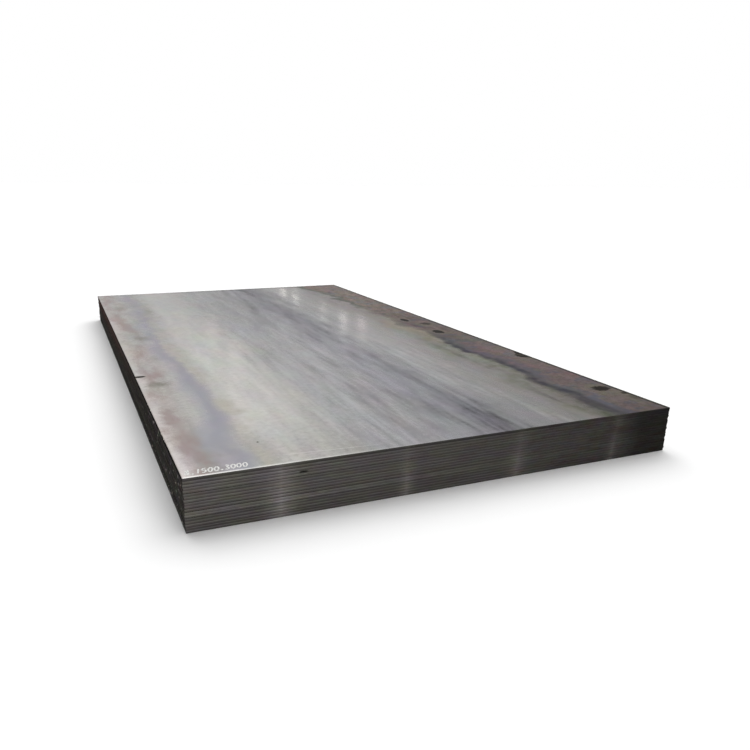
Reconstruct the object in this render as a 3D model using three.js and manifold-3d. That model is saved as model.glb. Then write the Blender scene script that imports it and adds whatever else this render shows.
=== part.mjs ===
// A flush stack of sheared steel plates, lying flat on a level floor.
//
// Millimetres, +Z up. The origin is the centre of the stack's underside, +Y runs along the plates' length
// (their rolling direction) and -Y is the end that carries the gouge. Each plate is one mesh, counted from the floor.
import * as THREE from "three";
import { mergeVertices } from "three/addons/utils/BufferGeometryUtils.js";
import Module from "manifold-3d";

// The stack
const plateWidth = 1500;
const plateLength = 3000;
const plateThickness = 7.8; // an 8 mm plate, rolled to the light side of its tolerance
const lowerLiftCount = 7; // plates in the lift that was set down first
const upperLiftCount = 11; // plates in the lift that was set on top of it
const airGap = 0.12; // what the plates' flatness leaves between two faces

// The sheared edge, the same on all four sides: the top face is drawn down into a curve, a band below it is
// burnished square by the blade, and the rest breaks away and leans back under the plate.
const rolloverDepth = 0.9; // down from the top face
const rolloverReach = 1.4; // in from the edge
const burnishHeight = 2.6;
const breakoutSetBack = 0.5; // how far in the edge lies at the underside
const cornerRadius = 1.8; // seen from above, where handling has blunted the corner

// How true the plates lie
const liftStepX = -2.2; // the lower lift against the upper one
const liftStepY = -1.6;
const stagger = 0.6; // the furthest that one plate slips from its lift
const slipTurn = 2.4; // radians from one plate's slip to the next one's
const skew = 0.012; // degrees, the most that a plate is turned on the stack

// A gouge in the front end, struck across the joint of two plates
const gougeLength = 24;
const gougeHeight = 7;
const gougeDepth = 4;
const gougeFromLeft = 298; // to its middle
const gougeBelowTop = 29.5; // to its middle

const arcSteps = 5; // facets in each rounded edge
const cutMargin = 10; // how far a section runs past the plate that it is cut to

const plateCount = lowerLiftCount + upperLiftCount;
const pitch = plateThickness + airGap;
const stackHeight = plateCount * plateThickness + (plateCount - 1) * airGap;

const wasm = await Module();
wasm.setup();

// A closed geometry as a solid that can be cut.
function toSolid(geometry) {
  geometry.deleteAttribute("normal");
  geometry.deleteAttribute("uv");
  const merged = mergeVertices(geometry);
  return new wasm.Manifold(
    new wasm.Mesh({
      numProp: 3,
      vertProperties: merged.attributes.position.array,
      triVerts: new Uint32Array(merged.index.array),
    }),
  );
}

function toGeometry(solid) {
  const mesh = solid.getMesh();
  const indexed = new THREE.BufferGeometry()
    .setAttribute("position", new THREE.BufferAttribute(mesh.vertProperties, 3))
    .setIndex(new THREE.BufferAttribute(mesh.triVerts, 1));
  const geometry = indexed.toNonIndexed();
  geometry.computeVertexNormals();
  return geometry;
}

// The plate's section between two opposite sheared edges, `across` apart, with its underside on the X axis.
function shearedSection(across) {
  const edge = across / 2;
  const breakoutTop = plateThickness - rolloverDepth - burnishHeight;
  const curveStart = plateThickness - rolloverDepth;
  const section = new THREE.Shape();
  section.moveTo(breakoutSetBack - edge, 0);
  section.lineTo(edge - breakoutSetBack, 0);
  section.lineTo(edge, breakoutTop);
  section.lineTo(edge, curveStart);
  section.absellipse(edge - rolloverReach, curveStart, rolloverReach, rolloverDepth, 0, Math.PI / 2);
  section.lineTo(rolloverReach - edge, plateThickness);
  section.absellipse(rolloverReach - edge, curveStart, rolloverReach, rolloverDepth, Math.PI / 2, Math.PI);
  section.lineTo(-edge, breakoutTop);
  section.closePath();
  return section;
}

// The plate seen from above, with its four corners blunted.
function planOutline() {
  const x = plateWidth / 2 - cornerRadius;
  const y = plateLength / 2 - cornerRadius;
  const quarter = Math.PI / 2;
  const outline = new THREE.Shape();
  outline.absarc(x, y, cornerRadius, 0, quarter);
  outline.absarc(-x, y, cornerRadius, quarter, 2 * quarter);
  outline.absarc(-x, -y, cornerRadius, 2 * quarter, 3 * quarter);
  outline.absarc(x, -y, cornerRadius, 3 * quarter, 4 * quarter);
  outline.closePath();
  return outline;
}

// A shape extruded along Z, centred on it.
function extruded(shape, depth) {
  const geometry = new THREE.ExtrudeGeometry(shape, {
    depth,
    bevelEnabled: false,
    curveSegments: arcSteps,
  });
  return geometry.translate(0, 0, -depth / 2);
}

// One plate, centred on the Z axis, with its underside at z = 0: what its two sections and its outline share.
function plateSolid() {
  const acrossWidth = extruded(shearedSection(plateWidth), plateLength + 2 * cutMargin);
  acrossWidth.rotateX(Math.PI / 2);
  const acrossLength = extruded(shearedSection(plateLength), plateWidth + 2 * cutMargin);
  acrossLength.rotateX(Math.PI / 2).rotateZ(Math.PI / 2);
  const outline = extruded(planOutline(), plateThickness + 2 * cutMargin);
  outline.translate(0, 0, plateThickness / 2);
  return toSolid(acrossWidth).intersect(toSolid(acrossLength)).intersect(toSolid(outline));
}

// The gouge as a solid to cut with, placed on a plate whose underside is `plateBase` above the floor.
function gougeSolid(plateBase) {
  const ball = new THREE.SphereGeometry(1, 4 * arcSteps, 2 * arcSteps);
  ball.scale(gougeLength / 2, gougeDepth, gougeHeight / 2);
  ball.translate(
    gougeFromLeft - plateWidth / 2,
    -plateLength / 2,
    stackHeight - gougeBelowTop - plateBase,
  );
  return toSolid(ball);
}

function reachesGouge(plateBase) {
  const middle = stackHeight - gougeBelowTop;
  return plateBase < middle + gougeHeight / 2 && plateBase + plateThickness > middle - gougeHeight / 2;
}

const wholePlate = plateSolid();

function plateMesh(index) {
  const base = index * pitch;
  const solid = reachesGouge(base) ? wholePlate.subtract(gougeSolid(base)) : wholePlate;
  const steel = new THREE.MeshStandardMaterial({
    color: new THREE.Color(0.6, 0.6, 0.6),
    roughness: 0.38,
    metalness: 0.9,
  });
  const mesh = new THREE.Mesh(toGeometry(solid), steel);
  mesh.name = `plate_${String(index + 1).padStart(2, "0")}`;
  mesh.position.set(
    stagger * Math.sin(slipTurn * index),
    stagger * Math.cos(slipTurn * index),
    base,
  );
  mesh.rotation.z = THREE.MathUtils.degToRad(skew) * Math.sin(slipTurn * index * 2);
  return mesh;
}

// A lift of plates, from the plate at `first` upwards.
function liftOf(first, count) {
  const lift = new THREE.Group();
  for (let index = first; index < first + count; index++) lift.add(plateMesh(index));
  return lift;
}

const stack = new THREE.Group();
const lowerLift = liftOf(0, lowerLiftCount);
lowerLift.position.set(liftStepX, liftStepY, 0);
stack.add(lowerLift, liftOf(lowerLiftCount, upperLiftCount));

// The origin is the centre of the stack's underside.
const middle = new THREE.Box3().setFromObject(stack, true).getCenter(new THREE.Vector3());
stack.position.set(-middle.x, -middle.y, 0);

const steelPlateStack = new THREE.Group();
steelPlateStack.add(stack);

export default steelPlateStack;
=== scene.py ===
"""Dresses a stack of sheared steel plates: worn edges, mill finish, a painted size mark and a pale studio."""

import math
from types import SimpleNamespace

import bmesh
import bpy
from mathutils import Matrix, Vector, noise


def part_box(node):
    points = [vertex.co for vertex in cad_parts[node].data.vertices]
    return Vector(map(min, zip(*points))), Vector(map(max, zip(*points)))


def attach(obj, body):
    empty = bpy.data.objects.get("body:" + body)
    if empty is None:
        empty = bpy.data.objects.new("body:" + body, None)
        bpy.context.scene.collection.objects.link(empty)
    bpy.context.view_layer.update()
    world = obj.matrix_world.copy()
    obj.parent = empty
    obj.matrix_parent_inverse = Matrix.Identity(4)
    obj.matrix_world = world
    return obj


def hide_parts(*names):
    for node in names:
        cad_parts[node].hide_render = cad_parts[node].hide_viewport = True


bl_info = {
    "name": "Steel Plate Stack",
    "version": (1, 0, 0),
    "blender": (4, 5, 0),
    "location": "View3D > Sidebar > Steel",
    "description": "Sheared steel plates with a hot-rolled finish, stacked on a studio floor",
    "category": "Object",
}

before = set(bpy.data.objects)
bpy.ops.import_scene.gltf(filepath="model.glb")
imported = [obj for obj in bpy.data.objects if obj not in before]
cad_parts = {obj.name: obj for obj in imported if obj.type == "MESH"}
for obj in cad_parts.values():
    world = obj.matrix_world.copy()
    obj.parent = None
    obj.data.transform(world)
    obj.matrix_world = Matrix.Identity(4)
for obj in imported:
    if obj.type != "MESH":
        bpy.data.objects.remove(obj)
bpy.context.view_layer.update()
PLATE_NODES = sorted(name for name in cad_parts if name.startswith("plate_"))
LOWEST = [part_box(name)[0] for name in PLATE_NODES]
HIGHEST = [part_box(name)[1] for name in PLATE_NODES]
TOP_PLATE = len(PLATE_NODES) - 1
PLATE_THICKNESS = HIGHEST[0].z - LOWEST[0].z
PLATE_PITCH = LOWEST[1].z - LOWEST[0].z
STACK_TOP = HIGHEST[TOP_PLATE].z
LEFT_EDGE, FRONT_EDGE = LOWEST[TOP_PLATE].x, LOWEST[TOP_PLATE].y
RIGHT_EDGE, BACK_EDGE = HIGHEST[TOP_PLATE].x, HIGHEST[TOP_PLATE].y
PLATE_WIDTH, PLATE_LENGTH = RIGHT_EDGE - LEFT_EDGE, BACK_EDGE - FRONT_EDGE
# The lift that was set down first, and the height of its top.
LOWER_LIFT_PLATES = 7
LOWER_LIFT = HIGHEST[LOWER_LIFT_PLATES - 1].z


# Properties


def number(name, description, default, **settings):
    """A number that a user may change."""
    return bpy.props.FloatProperty(name=name, description=description, default=default, **settings)


def size(name, description, default):
    """A length in metres."""
    return number(name, description, default, unit="LENGTH", precision=4)


def share(name, description, default):
    """A plain number from 0 to 1."""
    return number(name, description, default, min=0, max=1, subtype="FACTOR")


def angle(name, description, degrees):
    """An angle."""
    return number(name, description, math.radians(degrees), subtype="ANGLE")


def colour(name, description, default):
    """A linear colour."""
    return bpy.props.FloatVectorProperty(
        name=name, description=description, default=default, size=3, min=0, max=1, subtype="COLOR"
    )


class PlateSizes(bpy.types.PropertyGroup):
    """The shape of the sheared edges, and the damage on them."""

    rollover_depth: size("Rollover depth", "How far the shear draws the top face down", 0.0009)
    rollover_reach: size("Rollover reach", "How far in from the edge the top face starts to drop", 0.0014)
    burnish_height: size("Burnish height", "Height of the band that the blade leaves square", 0.0026)
    breakout_set_back: size("Breakout set-back", "How far in the edge lies at the underside", 0.0005)
    corner_radius: size("Corner radius", "Blunting of the corners, seen from above", 0.0018)
    edge_step: size("Edge step", "Distance between two columns of faces along an edge", 0.009)
    top_cell: size("Top cell", "Width of one face on the highest plate", 0.05)
    edge_wander: size("Edge wander", "How far an edge strays from a straight line", 0.0004)
    tear_depth: size("Tear depth", "Roughness of the torn band", 0.00022)
    gouge_length: size("Gouge length", "Length of the gouge in the front end", 0.024)
    gouge_height: size("Gouge height", "Height of the gouge in the front end", 0.007)
    gouge_depth: size("Gouge depth", "Depth of the gouge in the front end", 0.004)
    gouge_from_left: size("Gouge from left", "From the left edge to the middle of the gouge", 0.298)
    gouge_below_top: size("Gouge below top", "From the top face to the middle of the gouge", 0.0295)


class SteelFinish(bpy.types.PropertyGroup):
    """The colours of the rolled faces and of the sheared edges."""

    pale: colour("Pale steel", "Bare rolled steel where it is brightest", (0.53, 0.522, 0.497))
    grey: colour("Grey steel", "Rolled steel in the middle of the plate", (0.373, 0.371, 0.380))
    lilac: colour("Lilac steel", "The darkest part of the middle", (0.225, 0.222, 0.242))
    warm: colour("Warm steel", "Rolled steel towards the right edge", (0.410, 0.396, 0.390))
    rose: colour("Rose steel", "Rolled steel along the left edge", (0.392, 0.367, 0.352))
    green_cast: colour("Green cast", "One of two tints that drift over the steel", (0.994, 1.0, 0.994))
    pink_cast: colour("Pink cast", "The other tint that drifts over the steel", (1.0, 0.982, 0.990))
    blue_oxide: colour("Blue oxide", "Heat tint along the left edge", (0.298, 0.292, 0.335))
    straw: colour("Straw oxide", "Lumps beside the blue tint", (0.395, 0.375, 0.325))
    red_oxide: colour("Red-brown oxide", "Mottles along the left edge", (0.275, 0.215, 0.208))
    smear: colour("Smear", "Dull smears across the red-brown oxide", (0.175, 0.168, 0.138))
    green_shade: colour("Green shade", "Dull shade beside the blue tint, far back", (0.285, 0.280, 0.262))
    ember: colour("Ember oxide", "Fringe before the thick scale, half-way along", (0.290, 0.247, 0.218))
    brown_line: colour("Brown line", "Where thick scale begins, half-way along", (0.115, 0.086, 0.074))
    olive_fringe: colour("Olive fringe", "Tint of the steel before the thick scale", (0.60, 0.63, 0.51))
    scale_line: colour("Scale line", "Dark line where thick scale begins", (0.050, 0.045, 0.058))
    far_line: colour("Far scale line", "The same line towards the back", (0.088, 0.094, 0.077))
    scale: colour("Thick scale", "Brown-grey scale along the right edge", (0.125, 0.102, 0.098))
    red_scale: colour("Red scale", "Red-brown patches in the thick scale", (0.147, 0.106, 0.104))
    slate_scale: colour("Slate scale", "Blue-grey patches in the thick scale", (0.098, 0.096, 0.112))
    near_slate: colour("Near slate", "Blue-grey strip just past the scale line", (0.09114, 0.08928, 0.112))
    olive_scale: colour("Olive scale", "Green-brown patches in the thick scale", (0.115, 0.108, 0.082))
    straw_scale: colour("Straw scale", "Pale rings round the spots", (0.21, 0.185, 0.135))
    stain: colour("Stain", "Oil and water marks", (0.017, 0.014, 0.012))
    edge: colour("Sheared edge", "Burnished band of an edge", (0.221, 0.214, 0.201))
    torn: colour("Torn edge", "Torn band of an edge", (0.174, 0.166, 0.155))
    violet_cast: colour("Violet cast", "One of two tints that drift over the edges", (0.965, 0.935, 1.0))
    olive_cast: colour("Olive cast", "The other tint that drifts over the edges", (0.99, 1.0, 0.93))
    # Also painted as shade inside the gouge.
    grime_and_shade: colour("Grime", "Dirt in the joints between plates", (0.012, 0.011, 0.010))
    edge_rust: colour("Edge rust", "Thin rust on the edges", (0.13, 0.09, 0.07))
    # Painted highlight along the top face's front rim, and the pale of one scratch.
    rim_highlight_and_scratch: colour("Rubbed steel", "Rims that handling has rubbed bright", (0.88, 0.87, 0.85))
    roughness: share("Roughness", "Roughness of the rolled face", 0.13)
    edge_roughness: share("Edge roughness", "Roughness of the sheared edges", 0.5)


class SizeMark(bpy.types.PropertyGroup):
    """The size that is hand-painted on the top plate."""

    figures: bpy.props.StringProperty(
        name="Figures", description="Any of 0, 1, 3, 5, 8 and the point", default="8.1500.3000"
    )
    height: size("Height", "Height of one figure", 0.028)
    pitch: size("Pitch", "From one figure to the next", 0.0148)
    stroke: size("Stroke", "Width of the brush", 0.0044)
    film: size("Film", "Thickness of the paint", 0.00012)
    from_left: size("From left", "From the left edge to the first figure", 0.010)
    from_front: size("From front", "From the front edge to the foot of the figures", 0.019)
    paint: colour("Paint", "White paint", (0.66, 0.66, 0.64))


class Studio(bpy.types.PropertyGroup):
    """The camera, the lamps and the floor."""

    camera_place: bpy.props.FloatVectorProperty(
        name="Camera place",
        description="Where the camera stands",
        default=(-0.9493, -3.0663, 0.7931),
        size=3,
        subtype="TRANSLATION",
    )
    bearing: angle("Bearing", "Direction of view, clockwise from +Y", 23.827)
    pitch: angle("Pitch", "How far down the camera looks", 20.746)
    roll: angle("Roll", "Turn of the camera about its own axis", 0.580)
    lens: number("Lens", "Focal length on a sensor 36 mm wide", 33.944, unit="CAMERA")
    rise: share("Rise", "Vertical shift of the lens, as a share of the image's width", 0.1)
    sky: number("Sky", "Brightness of the room all round", 0.09, min=0)
    key: number("Key", "Strength of the key light", 2.05, min=0)
    floor: number("Floor", "Lightness of the floor", 0.98, min=0)
    floor_bounce: share("Floor bounce", "Lightness of the floor as the steel sees it", 0.04)
    pool: share("Pool", "The same before the left half of the front end", 0.6)


# Node helpers


class Field:
    """A node's output, which can differ from point to point, worked with as a number or a colour is."""

    def __init__(self, socket):
        self.socket = socket
        self.tree = socket.id_data

    def __add__(self, other):
        return maths("ADD", self, other)

    def __sub__(self, other):
        return maths("SUBTRACT", self, other)

    def __rsub__(self, other):
        return maths("SUBTRACT", other, self)

    def __mul__(self, other):
        return maths("MULTIPLY", self, other)

    def __truediv__(self, other):
        return maths("DIVIDE", self, other)

    def __pow__(self, other):
        return maths("POWER", self, other)


def put(socket, value):
    """Links a field to a socket, or sets the socket's value."""
    if isinstance(value, Field):
        value.tree.links.new(value.socket, socket)
    elif socket.type == "RGBA":
        socket.default_value = (*value, 1)
    else:
        socket.default_value = value


def put_all(node, inputs):
    """Links or sets a node's inputs, by name or place."""
    for key, value in inputs.items():
        put(node.inputs[key], value)


def add_node(tree, kind, inputs=None, **settings):
    """One node with its settings and its inputs."""
    node = tree.nodes.new(kind)
    for name, value in settings.items():
        setattr(node, name, value)
    put_all(node, inputs or {})
    return node


def tree_of(inputs):
    """The node tree that holds the fields among some inputs."""
    return next(value.tree for value in inputs.values() if isinstance(value, Field))


def new_field(kind, inputs, output=0, **settings):
    """One output of a new node, which joins the tree of its inputs."""
    return Field(add_node(tree_of(inputs), kind, inputs, **settings).outputs[output])


def has_parts(value):
    """Whether a value is a colour or a place, and not one number."""
    if isinstance(value, Field):
        return value.socket.type in {"RGBA", "VECTOR"}
    return hasattr(value, "__len__")


def maths(operation, *values, output=0):
    """The result of one Math node, or of one Vector Math node where a colour or a place takes part."""
    if not any(has_parts(value) for value in values):
        return new_field("ShaderNodeMath", dict(enumerate(values)), operation=operation)
    inputs = dict(enumerate(values))
    if operation == "MULTIPLY" and not all(has_parts(value) for value in values):
        operation = "SCALE"
        scaled, factor = sorted(values, key=has_parts, reverse=True)
        inputs = {0: scaled, "Scale": factor}
    return new_field("ShaderNodeVectorMath", inputs, output, operation=operation)


def clamped(result):
    """Holds the result of a Math node between 0 and 1."""
    result.socket.node.use_clamp = True
    return result


def mix(factor, first, second):
    """Two colours blended. At a factor of 0 only the first one shows."""
    # The Mix node's sockets for colours are its inputs 6 and 7 and its output 2.
    return new_field("ShaderNodeMix", {0: factor, 6: first, 7: second}, 2, data_type="RGBA")


def ease(value, low, high, start=0.0, end=1.0):
    """A smooth passage from start to end while the value goes from low to high, or down to high."""
    inputs = {"Value": value, "From Min": low, "From Max": high, "To Min": start, "To Max": end}
    return new_field("ShaderNodeMapRange", inputs, interpolation_type="SMOOTHSTEP")


def fit(value, given, wanted):
    """A value taken from one range to another in a straight line, and kept inside it."""
    names = ("Value", "From Min", "From Max", "To Min", "To Max")
    return new_field("ShaderNodeMapRange", dict(zip(names, (value, *given, *wanted), strict=True)))


def remap(value, low, high):
    """0 to 1 stretched to low to high."""
    return maths("MULTIPLY_ADD", value, high - low, low)


def noise_of(vector, scale, detail=3.0, roughness=0.5, distortion=0.0, output="Fac"):
    """Soft noise from 0 to 1."""
    inputs = {"Vector": vector, "Scale": scale, "Detail": detail, "Roughness": roughness}
    return new_field("ShaderNodeTexNoise", {**inputs, "Distortion": distortion}, output)


def own_number(index):
    """A number from 0 to 1 that belongs to one plate or joint."""
    return new_field("ShaderNodeTexWhiteNoise", {"W": index}, "Value", noise_dimensions="1D")


def parts_of(place):
    """A place's X, Y and Z."""
    return [Field(socket) for socket in add_node(place.tree, "ShaderNodeSeparateXYZ", {0: place}).outputs]


def place_at(*parts):
    """A place from its X, Y and Z."""
    return new_field("ShaderNodeCombineXYZ", dict(enumerate(parts)))


def course(value, points):
    """A line through given points, (value from 0 to 1, result from 0 to 1)."""
    node = add_node(value.tree, "ShaderNodeFloatCurve", {"Value": value})
    line = node.mapping.curves[0]
    for index, point in enumerate(points):
        if index < len(line.points):
            line.points[index].location = point
        else:
            line.points.new(*point)
    node.mapping.update()
    return Field(node.outputs[0])


def bump(height, distance):
    """A normal from a height."""
    return new_field("ShaderNodeBump", {"Height": height, "Distance": distance})


def fields_of(sockets):
    """Sockets as fields, by name."""
    return {socket.name: Field(socket) for socket in sockets}


def new_group(name, inputs, outputs):
    """The input fields and the output sockets of a new node group. Inputs are {name: default}."""
    tree = bpy.data.node_groups.new(name, "ShaderNodeTree")
    for socket_name, default in inputs.items():
        kind = "NodeSocketVector" if has_parts(default) else "NodeSocketFloat"
        tree.interface.new_socket(name=socket_name, in_out="INPUT", socket_type=kind).default_value = default
    for socket_name in outputs:
        tree.interface.new_socket(name=socket_name, in_out="OUTPUT", socket_type="NodeSocketFloat")
    given = fields_of(tree.nodes.new("NodeGroupInput").outputs)
    return given, tree.nodes.new("NodeGroupOutput").inputs


def use_group(name, inputs):
    """The output fields of a node group, placed in the tree of its inputs."""
    group = bpy.data.node_groups[name]
    return fields_of(add_node(tree_of(inputs), "ShaderNodeGroup", inputs, node_tree=group).outputs)


def new_material(name, constants):
    """A material, its Principled shader with its constants set, and the place on the object."""
    material = bpy.data.materials.new(name)
    material.use_nodes = True
    tree = material.node_tree
    shader = tree.nodes["Principled BSDF"]
    put_all(shader, constants)
    return material, shader, Field(add_node(tree, "ShaderNodeTexCoord").outputs["Object"])


# Effects that the finishes are made of

ORIGIN = (0.0, 0.0, 0.0)
BAND_EDGES = ("Left out", "Left in", "Right in", "Right out")


def build_grain_group():
    """Streaks that run along the plate, as rolling leaves them."""
    given, result = new_group("rolling_grain", {"Vector": ORIGIN, "Across": 60.0, "Along": 1.0}, ["Streaks"])
    drawn_out = given["Vector"] * place_at(given["Across"], given["Along"], given["Across"])
    put(result["Streaks"], noise_of(drawn_out, 1.0, roughness=0.55))


def build_mottle_group():
    """Ragged patches that cover a share of the surface."""
    inputs = {"Vector": ORIGIN, "Scale": 10.0, "Cover": 0.5, "Softness": 0.1}
    given, result = new_group("mottle", inputs, ["Patches"])
    field = noise_of(given["Vector"], given["Scale"], 5.0, 0.6, distortion=0.4)
    # Noise stays near its middle, so the cover is turned into a level close to it.
    level = remap(given["Cover"], 0.75, 0.25)
    put(result["Patches"], ease(field, level - given["Softness"], level + given["Softness"]))


def build_band_group():
    """A band: 0 outside its two outer edges and 1 between its two inner ones."""
    given, result = new_group("band", dict.fromkeys(("Offset", *BAND_EDGES), 0.0), ["Band"])
    rise = ease(given["Offset"], given["Left out"], given["Left in"])
    fall = ease(given["Offset"], given["Right out"], given["Right in"])
    put(result["Band"], rise * fall)


def build_stain_group():
    """One ragged spot, and the ring round it."""
    inputs = {"Vector": ORIGIN, "Centre": ORIGIN, "Reach": (0.02, 0.02, 1.0), "Raggedness": 0.5, "Fade": 0.4}
    given, result = new_group("stain", inputs, ["Spot", "Ring"])
    offset = given["Vector"] - given["Centre"]
    distance = maths("LENGTH", offset / given["Reach"], output=1)
    ragged = noise_of(given["Vector"], 70.0, 4.0) - 0.5
    edge = ragged * given["Raggedness"] + distance
    put(result["Spot"], ease(edge, 1.0, 1.0 - given["Fade"]))
    put(result["Ring"], ease(edge, 1.9, 1.1))


def build_level_group():
    """Which plate a point lies on, and how high up that plate's edge."""
    given, result = new_group("plate_level", {"Vector": ORIGIN, "Pitch": PLATE_PITCH}, ["Plate", "Level"])
    plates = parts_of(given["Vector"])[2] / given["Pitch"]
    put(result["Plate"], maths("FLOOR", plates))
    put(result["Level"], maths("FRACT", plates))


def build_groups():
    """Builds the shared effects once."""
    builders = (build_grain_group, build_mottle_group, build_band_group, build_stain_group, build_level_group)
    for build in builders:
        build()


def rolling_grain(plan, across, along):
    """Streaks, with how fine they are across and along the plate."""
    return use_group("rolling_grain", {"Vector": plan, "Across": across, "Along": along})["Streaks"]


def mottle(vector, scale, cover, softness=0.06):
    """Ragged patches."""
    inputs = {"Vector": vector, "Scale": scale, "Cover": cover, "Softness": softness}
    return use_group("mottle", inputs)["Patches"]


def band(offset, *edges):
    """A band between four edges: left outer, left inner, right inner, right outer."""
    return use_group("band", {"Offset": offset, **dict(zip(BAND_EDGES, edges, strict=True))})["Band"]


def spot(plan, centre, reach, raggedness, fade):
    """A ragged spot and the ring round it."""
    shape = {"Vector": plan, "Centre": centre, "Reach": reach}
    marks = use_group("stain", {**shape, "Raggedness": raggedness, "Fade": fade})
    return marks["Spot"], marks["Ring"]


def stain(tone, plan, spots, stain_colour, ring_colour=None):
    """Lays ragged spots over a tone, each with a paler ring where a ring colour is given."""
    for place, reach, raggedness, fade, strength in spots:
        dark, ring = spot(plan, (*place, STACK_TOP), (*reach, 1.0), raggedness, fade)
        if ring_colour is not None:
            tone = mix(ring * (RING_STRENGTH * strength), tone, ring_colour)
        tone = mix(dark * strength, tone, stain_colour)
    return tone


def faint_colours(tone, place, scale, depth):
    """Faint blotches of every colour."""
    blotches = noise_of(place, scale, 4.0, 0.6, output="Color")
    return tone * ((blotches - (0.5, 0.5, 0.5)) * depth + (1.0, 1.0, 1.0))


# The rolled face

# The lines below run over this width, the nominal one of a plate.
COURSE_SPAN = 1.5
# Patterns that rolling has drawn out along the plate.
DRAWN_OUT = (1.0, 0.4, 1.0)
# How strongly the ring round a spot shows, against the spot itself.
RING_STRENGTH = 0.2
# Marks on the top face, in metres from its front left corner: (middle, reach, raggedness, fade, strength).
SPOTS = [
    ((1.375, 1.648), (0.020, 0.045), 0.5, 0.25, 1.00),
    ((1.430, 1.690), (0.045, 0.020), 0.9, 0.80, 0.35),
    ((1.429, 1.524), (0.036, 0.044), 1.1, 0.60, 0.80),
    ((1.393, 1.325), (0.027, 0.046), 0.9, 0.25, 1.00),
    ((1.483, 0.772), (0.036, 0.046), 1.0, 0.30, 1.00),
    ((1.494, 0.812), (0.022, 0.034), 0.6, 0.30, 1.00),
    ((1.446, 0.258), (0.040, 0.036), 1.0, 0.40, 0.95),
    ((1.482, 0.184), (0.018, 0.015), 0.9, 0.50, 0.90),
    ((1.474, 0.130), (0.026, 0.044), 1.4, 1.00, 0.45),
    ((1.437, 2.277), (0.030, 0.022), 1.0, 0.80, 0.55),
    ((0.014, 0.984), (0.025, 0.014), 0.2, 0.30, 1.00),
    ((0.228, 0.178), (0.004, 0.006), 0.3, 0.50, 0.70),
]
SMEARS = [
    ((0.066, 0.860), (0.056, 0.060), 1.2, 1.0, 0.85),
    ((0.100, 1.655), (0.060, 0.085), 1.2, 1.0, 0.70),
    ((0.092, 1.250), (0.040, 0.080), 1.2, 1.0, 0.35),
    ((0.080, 2.490), (0.055, 0.110), 1.2, 1.0, 0.65),
    ((0.215, 2.330), (0.040, 0.170), 1.2, 1.0, 0.50),
]
# The middle of the blue tint and the edge of the thick scale:
# (share of the length, metres from the left edge).
BLUE_COURSE = [
    (0.00, 0.138), (0.05, 0.142), (0.14, 0.176), (0.23, 0.168), (0.36, 0.157), (0.45, 0.147),
    (0.59, 0.136), (0.68, 0.150), (0.77, 0.160), (0.87, 0.150), (1.00, 0.140),
]  # fmt: skip
SCALE_COURSE = [
    (0.000, 1.308), (0.045, 1.300), (0.090, 1.318), (0.137, 1.306), (0.180, 1.328), (0.227, 1.345),
    (0.273, 1.318), (0.310, 1.309), (0.363, 1.325), (0.418, 1.351), (0.450, 1.350), (0.500, 1.304),
    (0.567, 1.344), (0.640, 1.319), (0.720, 1.322), (0.820, 1.314), (0.883, 1.304), (0.933, 1.271),
    (1.000, 1.262),
]  # fmt: skip
# How much duller the near end and the far one are than what lies between:
# (metres from the left edge, share of light lost).
NEAR_DULL = [
    (0.00, 0.02), (0.05, 0.10), (0.09, 0.30), (0.13, 0.06), (0.19, 0.21), (0.25, 0.21), (0.42, 0.22),
    (0.55, 0.14), (0.59, 0.03), (0.66, 0.02), (0.75, 0.19), (0.79, 0.14), (0.82, 0.38), (0.88, 0.40),
    (0.95, 0.33), (0.99, 0.04), (1.04, 0.00), (1.11, 0.24), (1.20, 0.36), (1.50, 0.10),
]  # fmt: skip
FAR_DULL = [
    (0.00, 0.00), (0.12, 0.06), (0.17, 0.28), (0.23, 0.17), (0.38, 0.08), (0.50, 0.26), (0.66, 0.28),
    (0.74, 0.41), (0.79, 0.30), (0.84, 0.42), (0.89, 0.25), (0.93, 0.26), (1.02, 0.40), (1.11, 0.31),
    (1.24, 0.18), (1.50, 0.00),
]  # fmt: skip
# Stretches that differ from what lies round them: (edges across, edges along, share of light lost).
STRETCHES = [
    ((0.82, 0.92, 1.04, 1.16), (0.60, 0.80, 1.20, 1.40), -0.07),
    ((1.04, 1.11, 1.22, 1.30), (0.30, 0.42, 0.85, 1.10), 0.09),
    ((0.63, 0.67, 0.80, 0.83), (0.28, 0.42, 0.75, 0.90), -0.06),
    ((0.84, 0.87, 0.92, 0.96), (1.20, 1.40, 1.80, 2.00), -0.08),
]


def tone_across(finish, across):
    """The rolled face's own colour, from its left edge to its right one."""
    stops = [
        (0.00, finish.rose * 1.34),
        (0.04, finish.rose * 1.04),
        (0.10, finish.pale * 0.75),
        (0.20, finish.pale * 0.84),
        (0.27, finish.pale * 1.06),
        (0.40, finish.pale * 0.96),
        (0.46, finish.pale * 0.86),
        (0.53, finish.grey),
        (0.70, finish.grey * 0.95),
        (0.80, finish.lilac * 1.45),
        (0.90, finish.lilac * 0.97),
        (1.00, finish.grey * 1.18),
        (1.09, finish.warm * 1.19),
        (1.17, finish.warm * 0.88),
        (1.26, finish.warm * 0.62),
        (1.50, finish.warm * 0.50),
    ]
    ramp = add_node(across.tree, "ShaderNodeValToRGB", {0: across / COURSE_SPAN})
    elements = ramp.color_ramp.elements
    while len(elements) < len(stops):
        elements.new(0.5)
    for element, (stop, tone) in zip(elements, stops, strict=True):
        element.position = stop / COURSE_SPAN
        element.color = (*tone, 1)
    return Field(ramp.outputs[0])


def follow(at, points):
    """A course's distance from the left edge, in metres."""
    line = course(at.along / PLATE_LENGTH, [(place, across / COURSE_SPAN) for place, across in points])
    return line * COURSE_SPAN


def dullness(across, points):
    """The share of light lost, from the left edge to the right one."""
    return course(across / COURSE_SPAN, [(place / COURSE_SPAN, lost) for place, lost in points])


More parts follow.
